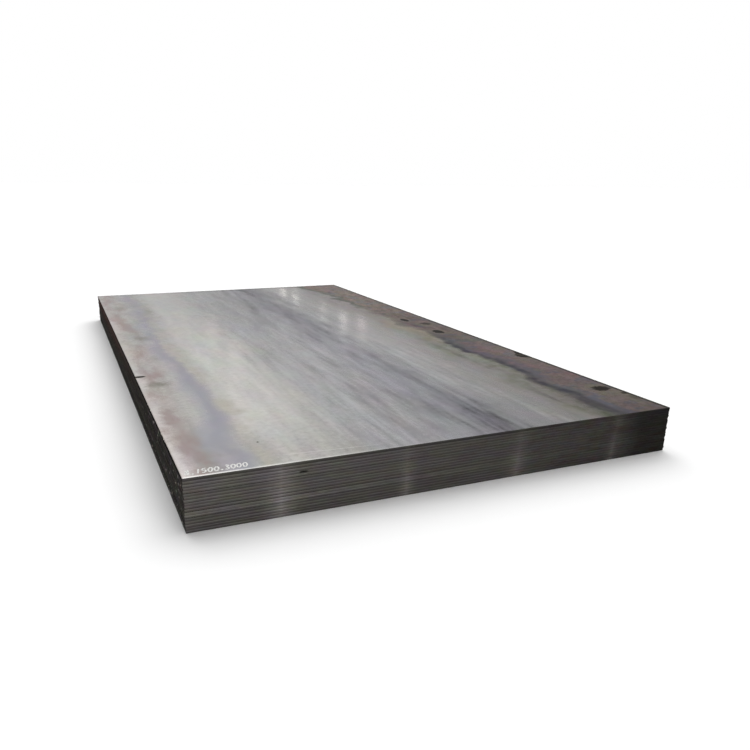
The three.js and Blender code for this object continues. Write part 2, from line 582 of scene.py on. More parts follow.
def middle_tone(at, wandering, finish):
    """The bare steel between the two long edges, and its fine streaks."""
    long_streaks = rolling_grain(at.plan, 9.0, 1.3)
    streaks = rolling_grain(at.plan, 32.0, 3.2)
    near = ease(at.along, 0.55, 0.12)
    smeared = near * (ease(at.across, 0.4, 0.9) * -0.04) + ((long_streaks - 0.5) * 0.13 + wandering)
    # The streaks are strongest in the middle. The far half is smoother, and its right side most of all.
    middle = ease(at.across, 0.25, 0.75, 0.20, 1.15) * ease(at.across, 0.95, 1.15, 1.0, 0.70)
    far_right = ease(at.across, 0.90, 1.10) * ease(at.along, 0.9, 1.4)
    smooth = maths("MAXIMUM", far_right * 0.6, ease(at.along, 1.2, 2.0, 0.0, 0.55))
    both = remap(long_streaks, -0.45, 0.45) + remap(streaks, -0.7, 0.7)
    grain = (noise_of(at.plan, 55.0, 4.0, 0.62) - 0.5) * ease(at.across, 0.3, 0.7, 0.40, 0.50)
    shade = both * (middle * (1.0 - smooth)) + (grain + 1.0)
    dulled = near * dullness(smeared, NEAR_DULL) + ease(at.along, 1.0, 2.5) * dullness(smeared, FAR_DULL)
    for across_edges, along_edges, lost in STRETCHES:
        dulled += band(smeared, *across_edges) * band(at.along, *along_edges) * lost
    return tone_across(finish, smeared) * (shade - dulled), streaks


def left_oxides(tone, at, offset_blue, wandering, finish):
    """The blue tint, the straw and the shade beside it, and the red-brown mottles along the left edge."""
    straw = band(offset_blue, 0.0, 0.04, 0.06, 0.13) * mottle(at.plan, 7.5, 0.5, 0.16)
    tone = mix(straw * 0.85, tone, finish.straw)
    right_shade = band(offset_blue, 0.01, 0.035, 0.045, 0.09) * ease(at.along, 1.5, 2.3)
    left_shade = band(offset_blue, -0.10, -0.065, -0.05, -0.01) * ease(at.along, 1.4, 2.0)
    shade = right_shade + left_shade * mottle(at.plan, 8.0, 0.55, 0.15)
    tone = mix(shade * 0.85, tone, finish.green_shade)
    # Towards the back the blue tint is darker and breaks up.
    strength = remap(mottle(at.plan, 6.0, 0.6, 0.15), 0.5, 0.9)
    strength = clamped(strength * ease(at.along, 1.0, 2.2, 0.9, 1.15))
    long_plan = at.plan * (1.0, 0.35, 1.0)
    gaps = ease(at.along, 1.1, 1.9) * mottle(long_plan, 15.0, 0.5, 0.12)
    whole = remap(gaps, 1.0, 0.45)
    blue = band(offset_blue, -0.070, -0.015, 0.005, 0.055) * (strength * whole)
    tone = mix(blue, tone, ease(at.along, 0.9, 2.0, 1.0, 0.84) * finish.blue_oxide)
    core = band(offset_blue, -0.025, 0.003, 0.012, 0.050) * (whole * 0.55)
    tone = mix(core, tone, finish.blue_oxide * 0.85)
    patches = ease(noise_of(long_plan, 13.0, roughness=0.6), 0.40, 0.64)
    fine = remap(noise_of(at.plan, 75.0, 4.0, 0.7), 0.3, 1.7)
    red = clamped(band(wandering, 0.0, 0.045, 0.065, 0.12) * (remap(patches, 0.22, 1.0) * fine))
    return mix(red * 0.92, tone, finish.red_oxide)


def scale_colours(at, past_edge, finish):
    """The thick scale's own colours: red-brown, blue-grey and olive patches, paler at the far end."""
    red = mottle(at.plan, 13.0, 0.55) * ease(at.along, 0.1, 0.6, 0.25, 1.0)
    tone = mix(red, finish.scale, finish.red_scale)
    elsewhere, far_off = at.plan + (7.3, 2.1, 0.0), at.plan + (3.9, 8.4, 0.0)
    tone = mix(mottle(elsewhere, 12.0, 0.45) * 0.8, tone, finish.slate_scale)
    tone = mix(mottle(far_off, 15.0, 0.4) * 0.6, tone, finish.olive_scale)
    coarse = remap(noise_of(at.plan * DRAWN_OUT, 34.0, roughness=0.6), -0.6, 0.6) * ease(at.along, 0.8, 1.6)
    tone *= remap(noise_of(at.plan, 60.0, 4.0, 0.6), 0.42, 1.58)
    tone *= coarse + 1.0
    slate = band(past_edge, 0.0, 0.02, 0.035, 0.075) * ease(at.along, 1.25, 0.9)
    tone = mix(slate * mottle(far_off, 15.0, 0.6, 0.2) * 0.8, tone, finish.near_slate)
    right_strip = ease(past_edge, 0.06, 0.12) * band(at.along, 0.5, 0.9, 1.6, 2.1)
    tone *= remap(right_strip, 1.0, 1.14)
    tone *= ease(at.along, 0.7, 1.3, 1.04, 0.86) * ease(at.along, 0.14, 0.03, 1.0, 0.86)
    return mix(ease(at.along, 1.65, 1.95), tone, tone * (1.39, 1.37, 1.27))


def thick_scale(tone, at, past_edge, finish):
    """The thick scale along the right edge, the dark line where it begins and the fringes before that."""
    # The olive fringe and the straw one only tint the steel, and leave its streaks in sight.
    olive = band(past_edge, -0.18, -0.05, 0.0, 0.03) * mottle(at.plan, 11.0, 0.75, 0.18)
    olive *= remap(mottle(at.plan, 26.0, 0.6, 0.2), 0.45, 1.0)
    olive *= ease(at.along, 2.2, 1.1, 0.25, 1.0)
    tone = mix(olive, tone, tone * finish.olive_fringe)
    ember = band(past_edge, -0.16, -0.06, -0.02, 0.02) * band(at.along, 1.2, 1.5, 2.1, 2.9)
    tone = mix(ember * 0.22, tone, finish.ember)
    straw = band(past_edge, -0.11, -0.06, -0.03, 0.0) * band(at.along, 1.05, 1.25, 1.50, 1.75)
    tone = mix(straw, tone, tone * (1.22, 1.13, 0.98))
    tone = mix(ease(past_edge, -0.01, 0.03), tone, scale_colours(at, past_edge, finish))

    # The line is violet near the front, brown half-way along and green towards the back.
    line = band(past_edge, -0.034, -0.004, 0.006, 0.034) * remap(mottle(at.plan, 17.0, 0.6, 0.2), 0.50, 1.0)
    tint = mix(ease(at.along, 1.45, 1.15), finish.brown_line, finish.scale_line)
    tint = mix(ease(at.along, 1.95, 2.15), tint, finish.far_line)
    strength = remap(band(at.along, 1.0, 1.5, 2.0, 2.2), 1.0, 0.6) * ease(at.along, 0.3, 0.1, 1.0, 0.82)
    return mix(line * strength, tone, tint)


def rim_marks_and_highlight(tone, at, finish):
    """A painted highlight along the front rim, darker rims behind and on the right, a rusty left one, and one
    scratch.
    """
    # The front rim is painted bright, most of all at the left corner: a painted highlight.
    front = ease(at.along, 0.013, 0.002) * ease(at.across, 1.1, -0.2) ** 2.0
    tone = mix(front * ease(noise_of(at.plan, 9.0, 4.0), 0.25, 0.45), tone, finish.rim_highlight_and_scratch)
    slanting = at.across * 0.085 + at.along
    scratch = band(slanting, 0.081, 0.083, 0.085, 0.087) * band(at.across, 0.25, 0.3, 0.45, 0.55)
    tone = mix(scratch * 0.2, tone, finish.rim_highlight_and_scratch)
    back = ease(at.along, PLATE_LENGTH - 0.070, PLATE_LENGTH - 0.020) * ease(at.across, 0.3, 0.7, 0.15, 0.42)
    right = ease(at.across, PLATE_WIDTH - 0.020, PLATE_WIDTH - 0.006)
    tone = mix(maths("MAXIMUM", back, right) * 0.85, tone, finish.stain)
    return mix(ease(at.across, 0.005, 0.002) * 0.35, tone, finish.edge_rust)


def rolled_steel(finish):
    """The rolled face: lengthwise grain, heat tints on the left, thick scale on the right, and stains."""
    # What is not metal in it shines weakly.
    material, shader, place = new_material("rolled_steel", {"IOR": 1.03, "Specular Tint": (0.6, 0.6, 0.6)})
    plan = place - (LEFT_EDGE, FRONT_EDGE, 0)
    across, along, _ = parts_of(plan)
    at = SimpleNamespace(plan=plan, across=across, along=along)
    drift = noise_of(plan, 2.2, 2.0) - 0.5
    lumps = noise_of(plan, 12.0, 4.0, 0.6) - 0.5
    lobes = noise_of(plan, 3.6, 2.0) - 0.5
    swells = noise_of(plan, 8.0, 1.5) - 0.5
    # Three ragged readings of the distance from the left edge: for the streaks and the red-brown mottles,
    # for the blue tint and for the thick scale.
    wandering = drift * 0.08 + (lumps * 0.06 + across)
    lobed = lobes * 0.13 + (lumps * ease(along, 0.8, 1.8, 0.035, 0.075) + across)
    swelling = swells * 0.08 + (lumps * ease(along, 1.2, 2.0, 0.03, 0.08) + across)

    tone, streaks = middle_tone(at, wandering, finish)
    cloud = noise_of(plan, 5.0, 4.0)
    tone *= mix(ease(cloud, 0.4, 0.6), finish.green_cast, finish.pink_cast)

    # The blue tint narrows towards the back.
    offset_blue = (lobed - follow(at, BLUE_COURSE)) * ease(along, 0.7, 1.4, 1.0, 1.2)
    tone = left_oxides(tone, at, offset_blue, wandering, finish)
    tone = thick_scale(tone, at, swelling - follow(at, SCALE_COURSE), finish)

    # Faint blotches, strongest on the thick scale and on the far left.
    long_plan = plan * DRAWN_OUT
    tone = faint_colours(tone, long_plan, 16.0, ease(across, 1.0, 1.3, 0.17, 0.36))
    far_left = ease(across, 0.80, 0.45) * ease(along, 0.7, 1.5)
    tone = faint_colours(tone, long_plan + (5.1, 0.0, 2.2), 8.0, far_left * 0.30)
    tone *= (noise_of(long_plan, 27.0, roughness=0.6) - 0.5) * (far_left * 0.36) + 1.0
    pink_rim = ease(across, 0.07, 0.02) * ease(along, 0.9, 1.8)
    tone = mix(pink_rim, tone, tone * (1.06, 0.985, 0.975))
    tone = stain(tone, plan, SMEARS, finish.smear)
    tone = stain(tone, plan, SPOTS, finish.stain, finish.straw_scale)
    tone = rim_marks_and_highlight(tone, at, finish)

    # Bare steel is pale and metallic. Oxide, scale and dirt are dark, rougher and less metallic.
    brightness = new_field("ShaderNodeRGBToBW", {0: tone})
    rough = remap(cloud, -0.02, 0.02) + remap(streaks, -0.02, 0.02)
    put_all(
        shader,
        {
            "Base Color": tone,
            "Metallic": fit(brightness, (0.10, 0.42), (0.06, 0.95)),
            "Roughness": rough + (fit(brightness, (0.30, 0.12), (0.0, 0.16)) + finish.roughness),
            "Normal": bump(streaks, 0.000010),
        },
    )
    return material


# The sheared edges

# Painted highlights on the front end: pale streaks up the plates, as lamps would make on the rounded edges:
# (places, reaches, strengths), each at the floor and at the top. Places are in metres from the left corner.
HIGHLIGHT_STREAKS = [
    ((0.235, 0.240), (0.080, 0.090), (1.30, 0.42)),
    ((0.584, 0.588), (0.045, 0.060), (0.85, 0.12)),
    ((0.935, 0.950), (0.075, 0.075), (1.00, 0.15)),
    ((1.281, 1.300), (0.040, 0.055), (0.85, 0.15)),
]


def highlight_streaks(at):
    """How bright the painted highlight streaks on the front end are."""
    glints = 0.0
    for places, reaches, strengths in HIGHLIGHT_STREAKS:
        distance = maths("ABSOLUTE", at.across - remap(at.up, *places))
        glint = clamped(1.0 - distance / remap(at.up, *reaches)) ** 2.5
        glints = glint * remap(at.up, *strengths) + glints
    return glints


def edge_places(place):
    """Where a point of an edge lies: on the stack, on its plate, and on which side."""
    plan = place - (LEFT_EDGE, FRONT_EDGE, 0)
    across, along, height = parts_of(plan)
    stacked = use_group("plate_level", {"Vector": place, "Pitch": PLATE_PITCH})
    top_base = LOWEST[TOP_PLATE].z
    return SimpleNamespace(
        place=place,
        plan=plan,
        across=across,
        along=along,
        height=height,
        # Distance along an edge, because one of the two stays the same on each side.
        run=across + along,
        # From 0 at the floor to 1 at the top of the stack.
        up=height / STACK_TOP,
        plate=stacked["Plate"],
        # From 0 at the plate's underside to 1 at the next one's.
        level=stacked["Level"],
        # From 0 at the highest plate's underside to 1 at its top face.
        level_of_top=(height - top_base) / (STACK_TOP - top_base),
        on_front=ease(along, 0.006, 0.004),
        on_left=ease(across, 0.04, 0.01),
        # Dirt evens the plates out towards the right.
        evenness=ease(across, 0.1, 0.8, 1.0, 0.19),
    )


def edge_tone(at, patches, lane, burnished, shear_marks, finish):
    """The colour of the burnished and the torn band, with thin rust and tints that drift over them."""
    # Towards the right, dirt hides most of the difference between the two bands.
    soiled_right = ease(at.across, 0.7, 1.3)
    shown = (burnished - 0.5) * remap(soiled_right, 1.0, 0.25) + 0.5
    tone = mix(shown, finish.torn, finish.edge)
    varied = remap(own_number(at.plate), -0.17, 0.17) + remap(patches, -0.5, 0.5)
    tone *= varied * at.evenness + 1.0
    tone *= remap(shear_marks, 0.85, 1.15)
    rust = mottle(lane, 9.0, 0.35, 0.15) * remap(soiled_right, 0.35, 0.6)
    tone = mix(rust, tone, finish.edge_rust)

    # These tints spread over several plates.
    spread = place_at(at.run, at.height * 2.5, 0.0)
    tone *= mix(ease(noise_of(spread, 12.0), 0.4, 0.6), finish.violet_cast, finish.olive_cast)
    depth = soiled_right * remap(at.on_front, -0.2, 0.35) + remap(at.on_front, 0.6, 0.22)
    tone = faint_colours(tone, spread, 22.0, depth)

    # Thin rust reddens the upper half towards the back, and the left side most.
    reddened = ease(at.along, 0.6, 2.2) * ease(at.up, 0.3, 0.9) * remap(at.on_left, 0.3, 1.0)
    return mix(reddened, tone, tone * (1.55, 1.12, 1.08))


def edge_shade(at, patches):
    """How bright the edges are: painted highlights in some places, painted shade and darker stretches in
    others, and pale specks.
    """
    # The lower lift stands proud, so the plates at its top get a painted highlight. The lowest plates get
    # painted light, as from the floor.
    lift_highlight = band(at.height - LOWER_LIFT, -0.0145, -0.0100, -0.0055, -0.0015) * ease(patches, 0.25, 0.60)
    lit_by_floor = ease(at.up, 0.30, 0.00) * ease(at.across, 0.9, 1.15, 0.18, 0.0)
    shade = highlight_streaks(at) * at.on_front + (lift_highlight * ease(at.across, 0.2, 1.2, 0.36, 0.08) + lit_by_floor)
    # The front end's right corner is darker: painted shade. A few low plates left of the middle, and all the
    # right half, are darker too.
    shade += ease(at.across, 1.30, 1.40) * -0.45 * at.on_front
    shade += remap(at.on_front, 0.80, 0.93)
    shade += band(at.up, 0.07, 0.11, 0.22, 0.27) * ease(at.across, 1.0, 0.7) * -0.10
    shade += ease(at.across, 0.75, 1.15) * -0.06
    # Pale specks everywhere but on the front end, most of all on the left side near the front.
    specks = ease(noise_of(at.place * DRAWN_OUT, 90.0, 1.0), 0.64, 0.70)
    spattered = remap(at.on_left * ease(at.along, 1.0, 0.5), 0.4, 2.6) * (1.0 - at.on_front)
    # The top plate's edge is darker.
    top_edge = ease(at.level_of_top, -0.2, 0.2) * remap(at.on_front, -0.7, -0.5)
    return shade + specks * spattered + top_edge * ease(at.across, 0.9, 1.4, 0.8, 0.0)


def grime_and_gouge_shade(at, patches, sizes):
    """Dirt in each joint, above and below it, and painted shade inside the gouge."""
    uneven = remap(patches, 0.04, 0.18)
    above_joint = ease(at.level, uneven, 0.0)
    # The top plate has no joint over it, so its rim stays cleaner.
    below_top = ease(at.level_of_top, 0.2, -0.2)
    below_joint = ease(at.level, 0.99 - uneven, 0.99) * remap(below_top, 0.2, 0.7)
    # Some joints are packed with dirt, and others are nearly clean.
    nearest_joint = maths("FLOOR", at.height / PLATE_PITCH + 0.5)
    packed = remap(own_number(nearest_joint), 0.40, 1.20) * remap(at.evenness, 0.35, 1.0)
    grime_and_shade = clamped(maths("MAXIMUM", above_joint, below_joint) * packed)
    # Inside the gouge the edge is darkened: painted shade in the hollow.
    gouge = (sizes.gouge_from_left, 0.0, STACK_TOP - sizes.gouge_below_top)
    reach = (sizes.gouge_length * 0.62, sizes.gouge_depth * 2, sizes.gouge_height * 0.4)
    gouge_shade, _ = spot(at.plan, gouge, reach, 0.3, 0.4)
    return maths("MAXIMUM", grime_and_shade, gouge_shade)


def sheared_steel(finish, sizes):
    """The sheared edges: a burnished band, a torn band, grime in the joints, painted shade in the gouge, thin
    rust and painted highlight streaks.
    """
    material, shader, place = new_material("sheared_steel", {"IOR": 1.05, "Specular Tint": (0.2, 0.2, 0.2)})
    at = edge_places(place)
    # Every plate has its own patches and its own marks of the blade along its edge.
    lane = place_at(at.run, at.plate * 3.7, 0.0)
    patches = noise_of(lane, 9.0, 5.0, 0.65)
    shear_marks = noise_of(place_at(at.run * 900.0, at.level * 1.5, at.plate), 1.0, 2.0)
    grit = noise_of(place, 1400.0, 2.0)
    burnish_level = burnished_band(sizes)[0] / PLATE_PITCH
    burnished = ease(at.level, burnish_level - 0.05, burnish_level + 0.05)
    grime_and_shade = grime_and_gouge_shade(at, patches, sizes)
    tone = edge_tone(at, patches, lane, burnished, shear_marks, finish) * edge_shade(at, patches)
    put_all(
        shader,
        {
            "Base Color": mix(grime_and_shade, tone, finish.grime_and_shade),
            "Metallic": remap(grime_and_shade, 0.85, 0.3),
            "Roughness": burnished * -0.08 + (grit * 0.12 + finish.edge_roughness),
            "Normal": bump(shear_marks * 0.7 + grit, 0.00025),
        },
    )
    return material


def marking_paint(mark):
    """White paint from a brush, thin at the edges of its streaks."""
    material, shader, place = new_material("marking_paint", {"Metallic": 0.0, "IOR": 1.45})
    film = noise_of(place, 260.0)
    put_all(
        shader,
        {
            "Base Color": mix(ease(film, 0.62, 0.42), mark.paint * 0.72, mark.paint),
            "Roughness": remap(film, 0.5, 0.7),
            "Normal": bump(film, 0.00005),
        },
    )
    return material


# The plates

# Rows of faces up the two curved or torn parts of an edge, and facets round a blunted corner.
BREAKOUT_ROWS = 4
ROLLOVER_ROWS = 4
CORNER_FACETS = 3
# The top face's outermost strip, which keeps the shading of the curved edge off the rest of the face.
FLAT_MARGIN = 0.003
# Cuts that divide every stretch of the front edge again next to the gouge.
GOUGE_CUTS = 7
# How upright the normal of a rolled face is. A sheared edge leans more.
FLAT_NORMAL = 0.999
# How fine the noise is that shapes the edges, per metre: long and short waves, tears along and up an edge,
# and the changes of the rollover. The shares say how strong the short waves and those changes are.
LONG_WAVES, SHORT_WAVES, SHORT_SHARE = 2.5, 19, 0.35
TEARS_ALONG, TEARS_UP = 160, 700
DRAW_WAVES, DRAW_SHARE = 11, 0.35


def noise_at(*place):
    """Smooth noise from -1 to 1 at a place."""
    return noise.noise(Vector(place))


def burnished_band(sizes):
    """The heights of the burnished band's bottom and top, above the plate's underside."""
    top = PLATE_THICKNESS - sizes.rollover_depth
    return top - sizes.burnish_height, top


def sheared_section(sizes):
    """(inset, height) pairs up an edge, from the underside to a little way in on the top face."""
    burnish_bottom, burnish_top = burnished_band(sizes)
    rows = []
    for row in range(BREAKOUT_ROWS + 1):
        up = row / BREAKOUT_ROWS
        rows.append((sizes.breakout_set_back * (1 - up), burnish_bottom * up))
    for row in range(ROLLOVER_ROWS + 1):
        turn = math.pi / 2 * row / ROLLOVER_ROWS
        inset = sizes.rollover_reach * (1 - math.cos(turn))
        rows.append((inset, burnish_top + sizes.rollover_depth * math.sin(turn)))
    rows.append((sizes.rollover_reach + FLAT_MARGIN, PLATE_THICKNESS))
    return rows


def plate_outline(cells, sizes):
    """A flat plate with blunted corners, its outline divided into stretches of about one edge step."""
    bm = bmesh.new()
    bmesh.ops.create_grid(bm, x_segments=cells[0], y_segments=cells[1], size=0.5)
    bmesh.ops.scale(bm, vec=(PLATE_WIDTH, PLATE_LENGTH, 1), verts=bm.verts)
    bmesh.ops.bevel(
        bm,
        geom=[v for v in bm.verts if len(v.link_edges) == 2],
        offset=sizes.corner_radius,
        offset_type="OFFSET",
        affect="VERTICES",
        segments=CORNER_FACETS,
        profile=0.5,
        material=-1,
    )
    rim = [e for e in bm.edges if e.is_boundary and e.calc_length() > sizes.edge_step]
    if cells == (1, 1):
        for side in rim:
            cuts = round(side.calc_length() / sizes.edge_step) - 1
            bmesh.ops.subdivide_edges(bm, edges=[side], cuts=cuts)
    else:
        cell = min(PLATE_WIDTH / cells[0], PLATE_LENGTH / cells[1])
        bmesh.ops.subdivide_edges(bm, edges=rim, cuts=max(1, round(cell / sizes.edge_step) - 1))
    return bm


def divide_front(bm, low, high):
    """Divides the front edge more finely from low to high, in the plate's own frame."""
    front = -0.499 * PLATE_LENGTH
    rim = [e for e in bm.edges if e.is_boundary]
    near = [e for e in rim if all(v.co.y < front and low < v.co.x < high for v in e.verts)]
    bmesh.ops.subdivide_edges(bm, edges=near, cuts=GOUGE_CUTS)


def raise_section(bm, section):
    """Draws the flat plate up through its edge section, ring by ring."""
    cap = list(bm.faces)
    inset_before, height_before = 0.0, 0.0
    for ring, (inset, height) in enumerate(section):
        if ring:
            below = cap
            grown = bmesh.ops.extrude_face_region(bm, geom=below)["geom"]
            cap = [part for part in grown if isinstance(part, bmesh.types.BMFace)]
            if ring > 1:
                bmesh.ops.delete(bm, geom=below, context="FACES")
        verts = list({v for face in cap for v in face.verts})
        shrink_x = (PLATE_WIDTH / 2 - inset) / (PLATE_WIDTH / 2 - inset_before)
        shrink_y = (PLATE_LENGTH / 2 - inset) / (PLATE_LENGTH / 2 - inset_before)
        bmesh.ops.scale(bm, vec=(shrink_x, shrink_y, 1), verts=verts)
        bmesh.ops.translate(bm, vec=(0, 0, height - height_before), verts=verts)
        inset_before, height_before = inset, height
    bmesh.ops.recalc_face_normals(bm, faces=bm.faces)


def rough_edges(bm, plate, sizes):
    """Lets the edges wander, tears the lower band and varies the rollover from place to place."""
    # Only the rows of the edge itself move, and not the flat rows beyond them.
    reach = sizes.rollover_reach * 1.2
    burnish_bottom, burnish_top = burnished_band(sizes)
    for v in bm.verts:
        x, y, z = v.co
        out = Vector((0, 0, 0))
        if PLATE_WIDTH / 2 - abs(x) < reach:
            out.x = math.copysign(1, x)
        if PLATE_LENGTH / 2 - abs(y) < reach:
            out.y = math.copysign(1, y)
        if not out.length:
            continue
        # The plate's own number takes part, so that no two plates are alike.
        shift = noise_at(x * LONG_WAVES, y * LONG_WAVES, plate * 5.3) * sizes.edge_wander
        shift += noise_at(x * SHORT_WAVES, y * SHORT_WAVES, plate * 7.1) * sizes.edge_wander * SHORT_SHARE
        if z < burnish_bottom * 0.9:
            tear = noise_at(x * TEARS_ALONG, y * TEARS_ALONG, z * TEARS_UP + plate * 11)
            shift += tear * sizes.tear_depth
        v.co += out * shift
        if z > burnish_top:
            drawn = noise_at(x * DRAW_WAVES, y * DRAW_WAVES, plate * 3.9) * DRAW_SHARE
            v.co.z -= (PLATE_THICKNESS - z) * drawn


def press_gouge(bm, middle, sizes):
    """Pushes the front edge in where the gouge was struck. middle is in the plate's own frame."""
    for v in bm.verts:
        if v.co.y > sizes.gouge_depth - PLATE_LENGTH / 2:
            continue
        off_x = (v.co.x - middle.x) / (sizes.gouge_length / 2)
        off_z = (v.co.z - middle.z) / (sizes.gouge_height / 2)
        room = 1 - off_x**2 - off_z**2
        if room > 0:
            v.co.y += sizes.gouge_depth * math.sqrt(room)


def sort_by_place(elements, place_of):
    """Lists a bmesh's vertices or faces by where they lie, so that every run lists them alike."""
    for rank, element in enumerate(sorted(elements, key=lambda element: place_of(element)[:])):
        element.index = rank
    elements.sort()


def finish_piece(bm, name, materials, sharp_angle):
    """Turns a bmesh into a finished object that rides on the stack's only body. The angle is in degrees."""
    sort_by_place(bm.verts, lambda vert: vert.co)
    sort_by_place(bm.faces, lambda face: face.calc_center_median())
    mesh = bpy.data.meshes.new(name)
    bm.to_mesh(mesh)
    bm.free()
    for material in materials:
        mesh.materials.append(material)
    mesh.shade_smooth()
    mesh.set_sharp_from_angle(angle=math.radians(sharp_angle))
    piece = bpy.data.objects.new(name, mesh)
    bpy.context.scene.collection.objects.link(piece)
    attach(piece, "root")
    return piece


def build_plate(index, sizes, materials):
    """One sheared plate in the place of its node."""
    low, high = LOWEST[index], HIGHEST[index]
    centre = (low + high) / 2
    cells = (1, 1)
    if index == TOP_PLATE:
        cells = (round(PLATE_WIDTH / sizes.top_cell), round(PLATE_LENGTH / sizes.top_cell))
    gouge_height = STACK_TOP - sizes.gouge_below_top - low.z
    gouge = Vector((LEFT_EDGE + sizes.gouge_from_left - centre.x, 0, gouge_height))
    reached = -sizes.gouge_height / 2 < gouge.z < PLATE_THICKNESS + sizes.gouge_height / 2
    bm = plate_outline(cells, sizes)
    if reached:
        divide_front(bm, gouge.x - sizes.gouge_length, gouge.x + sizes.gouge_length)
    raise_section(bm, sheared_section(sizes))
    rough_edges(bm, index, sizes)
    if reached:
        press_gouge(bm, gouge, sizes)
    bm.normal_update()
    for face in bm.faces:
        face.material_index = 0 if abs(face.normal.z) > FLAT_NORMAL else 1
    bmesh.ops.translate(bm, vec=(centre.x, centre.y, low.z), verts=bm.verts)
    plate = finish_piece(bm, f"sheared_{PLATE_NODES[index]}", materials, 50)
    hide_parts(PLATE_NODES[index])


# The size mark

# The brush stroke of each figure, on a cell one high and about half as wide, as a hand draws it.
FIGURE_STROKES = {
    "0": [(0.26, 0.97), (0.06, 0.72), (0.05, 0.28), (0.24, 0.02), (0.42, 0.25), (0.44, 0.68), (0.28, 0.98)],
    "1": [(0.26, 0.97), (0.21, 0.02)],
    "3": [(0.08, 0.86), (0.25, 0.98), (0.40, 0.80), (0.22, 0.54), (0.43, 0.28), (0.24, 0.02), (0.04, 0.16)],
    "5": [(0.42, 0.96), (0.14, 0.95), (0.10, 0.56), (0.32, 0.58), (0.42, 0.30), (0.25, 0.03), (0.04, 0.12)],
    "8": [
        (0.40, 0.84), (0.23, 0.98), (0.10, 0.80), (0.27, 0.54), (0.42, 0.25),
        (0.23, 0.01), (0.05, 0.22), (0.24, 0.52), (0.40, 0.82),
    ],
    ".": [(0.10, 0.02), (0.20, 0.00), (0.22, 0.09), (0.12, 0.10), (0.11, 0.03)],
}  # fmt: skip
# How far a figure leans, against its height, and how far the line of figures climbs, against its length.
MARK_SLANT = 0.22
MARK_RISE = 0.012
# Against a figure's height: its width, and how far an unsteady hand strays.
FIGURE_WIDTH = 0.8
UNSTEADINESS = 0.06
# The room that a point takes, against a figure's.
POINT_PITCH = 0.75


def brush_strokes(mark):
    """The mark's strokes as one curve object, flat on the XY plane, its foot on the X axis."""
    curve = bpy.data.curves.new("brush_strokes", "CURVE")
    curve.dimensions = "3D"
    curve.resolution_u = 8
    curve.bevel_depth = mark.stroke / 2
    curve.bevel_resolution = 3
    curve.use_fill_caps = True
    pen = 0.0
    for order, figure in enumerate(mark.figures):
        # Each figure lands a little off its place, in its own direction.
        unsteady = Vector((noise_at(order * 1.7, 3, 0), noise_at(order * 2.3, 0, 5), 0))
        stroke = FIGURE_STROKES[figure]
        spline = curve.splines.new("BEZIER")
        spline.bezier_points.add(len(stroke) - 1)
        for point, (x, y) in zip(spline.bezier_points, stroke, strict=True):
            flat = Vector((pen + (x + MARK_SLANT * y) * mark.height * FIGURE_WIDTH, y * mark.height, 0))
            point.co = flat + unsteady * mark.height * UNSTEADINESS
            point.handle_left_type = point.handle_right_type = "AUTO"
        pen += mark.pitch * (POINT_PITCH if figure == "." else 1.0)
    return bpy.data.objects.new("brush_strokes", curve)


class STEEL_OT_plates(bpy.types.Operator):
    """Build the sheared plates"""

    bl_idname = "steel.plates"
    bl_label = "Build Plates"

    def execute(self, context):
        sizes, finish = context.scene.steel_plates, context.scene.steel_finish
        build_groups()
        materials = [rolled_steel(finish), sheared_steel(finish, sizes)]
        for index in range(len(PLATE_NODES)):
            build_plate(index, sizes, materials)
        return {"FINISHED"}


class STEEL_OT_size_mark(bpy.types.Operator):
    """Paint the size mark on the top plate"""

    bl_idname = "steel.size_mark"
    bl_label = "Paint Size Mark"

    def execute(self, context):
        mark = context.scene.steel_mark
        strokes = brush_strokes(mark)
        context.scene.collection.objects.link(strokes)
        flat = bpy.data.meshes.new_from_object(strokes.evaluated_get(context.evaluated_depsgraph_get()))
        bpy.data.objects.remove(strokes)
        bm = bmesh.new()
        bm.from_mesh(flat)
        bmesh.ops.scale(bm, vec=(1, 1, mark.film / mark.stroke), verts=bm.verts)
        for v in bm.verts:
            v.co.y += v.co.x * MARK_RISE
        foot = (LEFT_EDGE + mark.from_left, FRONT_EDGE + mark.from_front, STACK_TOP + mark.film / 2)
        bmesh.ops.translate(bm, vec=foot, verts=bm.verts)
        finish_piece(bm, "size_mark", [marking_paint(mark)], 60)
        return {"FINISHED"}


# The studio. Bearings run clockwise from +Y and heights up from the horizon, in degrees.

# Soft cards that brighten the room: (bearing, height, spread, strength).
SOFT_CARDS = [
    (1, 31, 4.5, 1.50),
    (195, 15, 7.0, 1.45),
    (135, 38, 6.0, 0.25),
]
# Wide lamps with parallel rays: the key, high at the back right, and a weak one, low at the front right:
# (name, bearing, height, spread in degrees, share of the key's strength).
SUNS = [
    ("key_light", 40, 56, 70, 1.0),
    ("low_light", 160, 20, 30, 0.245),
]
